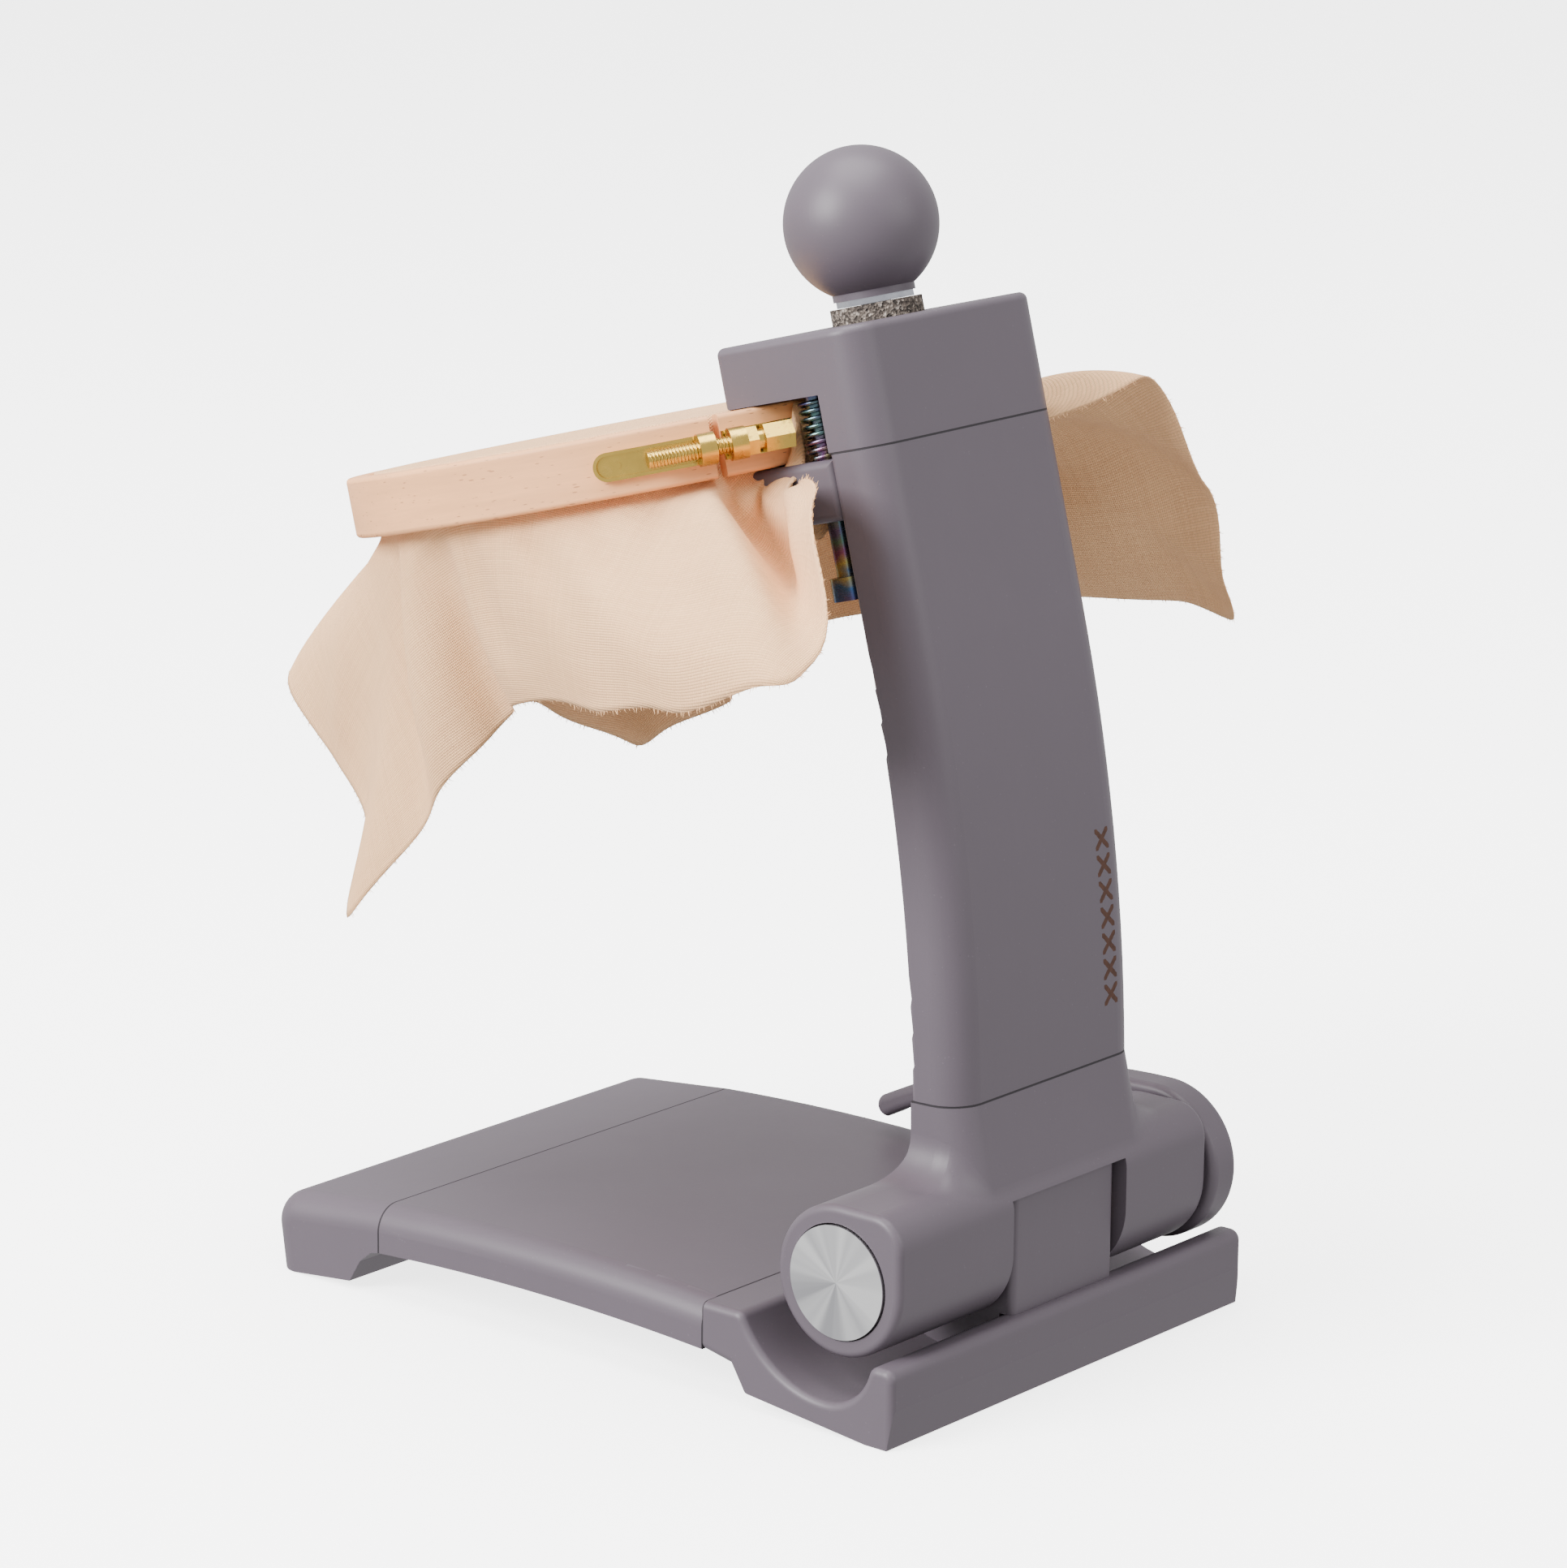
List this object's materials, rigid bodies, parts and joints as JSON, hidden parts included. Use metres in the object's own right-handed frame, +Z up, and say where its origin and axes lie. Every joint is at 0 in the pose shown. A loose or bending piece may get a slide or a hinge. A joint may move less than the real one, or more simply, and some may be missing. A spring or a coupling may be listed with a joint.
{
  "type": "embroidery hoop on table stand",
  "caption": "Table stand with a curved tilting arm whose screw jaw holds a round embroidery hoop and its stretched cloth over a low arched base.",
  "frame": {"origin": "point on the table straight below the middle of the hinge line", "axes": "+X along the hinge towards its metal cap, +Y to the back of the stand, +Z up; the hoop reaches towards -Y"},
  "size_m": [0.2183, 0.2496, 0.314],
  "materials": {
    "lacquered_wood": "satin warm grey lacquer",
    "plain_beech": "plain",
    "beech": "sanded",
    "brass": "pressed and turned",
    "bush_brass": "turned",
    "linen": "woven",
    "brushed_aluminium": "radially brushed",
    "foam": "speckled foam",
    "tempered_steel": "tempered blue and purple",
    "fibre": "matt",
    "zinc": "bright",
    "steel": "plain"
  },
  "bodies": {
    "base": {"base_front_bar": "lacquered_wood", "base_middle_board": "lacquered_wood", "base_rear_bar": "lacquered_wood", "hinge_lug": "lacquered_wood", "front_dowel_1": "plain_beech", "front_dowel_2": "plain_beech", "rear_dowel_1": "plain_beech", "rear_dowel_2": "plain_beech", "lug_screw_1": "steel", "lug_screw_2": "steel", "cross_pin": "steel", "hinge_bolt": "steel"},
    "arm": {"arm_fork": "lacquered_wood", "arm_column": "lacquered_wood", "head_block": "lacquered_wood", "fork_dowel_1": "plain_beech", "fork_dowel_2": "plain_beech", "head_dowel_1": "plain_beech", "head_dowel_2": "plain_beech", "hinge_cap": "brushed_aluminium", "fork_bush_cap": "bush_brass", "fork_bush_lever": "bush_brass", "friction_washer_cap": "fibre", "friction_washer_lever": "fibre", "bolt_washer": "steel", "guide_bolt_1": "tempered_steel", "guide_bolt_2": "tempered_steel", "guide_insert_1": "bush_brass", "guide_insert_2": "bush_brass", "jaw_spring_1": "tempered_steel", "jaw_spring_2": "tempered_steel", "foam_washer": "foam"},
    "lever": {"lock_lever": "lacquered_wood", "lever_washer": "steel", "lever_insert": "bush_brass"},
    "knob": {"clamp_rod": "steel", "knob_insert": "zinc", "ball_knob": "lacquered_wood"},
    "jaw": {"lower_jaw": "lacquered_wood", "jaw_insert": "bush_brass"},
    "hoop": {"hoop_outer_ring": "beech", "hoop_inner_ring": "beech", "plate_free": "brass", "plate_head": "brass", "plate_free_pin_1": "brass", "plate_free_pin_2": "brass", "plate_head_pin_1": "brass", "plate_head_pin_2": "brass", "cloth_top": "linen", "cloth_wrap": "linen", "cloth_hanging": "linen"},
    "hoop_screw_set": {"hoop_screw": "brass", "screw_nut": "brass"}
  },
  "joints": [
    {"name": "arm_tilt", "type": "hinge", "parent": "base", "child": "arm", "pos_m": [0, 0, 0.039], "axis": [1, 0, 0], "range_deg": [-35, 26], "deforming": ["cloth_hanging"]},
    {"name": "lever_turn", "type": "hinge", "parent": "base", "child": "lever", "pos_m": [-0.0668, 0, 0.039], "axis": [1, 0, 0], "range_deg": [-120, 0]},
    {"name": "knob_turn", "type": "hinge", "parent": "arm", "child": "knob", "pos_m": [0, -0.04143, 0.24679], "axis": [0, -0.2504, 0.9681], "range_deg": [0, 4030]},
    {"name": "jaw_slide", "type": "slide", "parent": "arm", "child": "jaw", "axis": [0, 0.2504, -0.9681], "range_m": [0, 0.014], "deforming": ["jaw_spring_1", "jaw_spring_2"]},
    {"name": "hoop_slide", "type": "slide", "parent": "arm", "child": "hoop", "axis": [0, -0.9681, -0.2504], "range_m": [0, 0.03]},
    {"name": "hoop_screw_turn", "type": "hinge", "parent": "hoop", "child": "hoop_screw_set", "pos_m": [0.05073, -0.05671, 0.24283], "axis": [-0.809, 0.5691, 0.1472], "range_deg": [0, 1440]}
  ],
  "couplings": [
    {"joint": "jaw_slide", "follows": "knob_turn", "m_per_rad": 0.00019894}
  ]
}
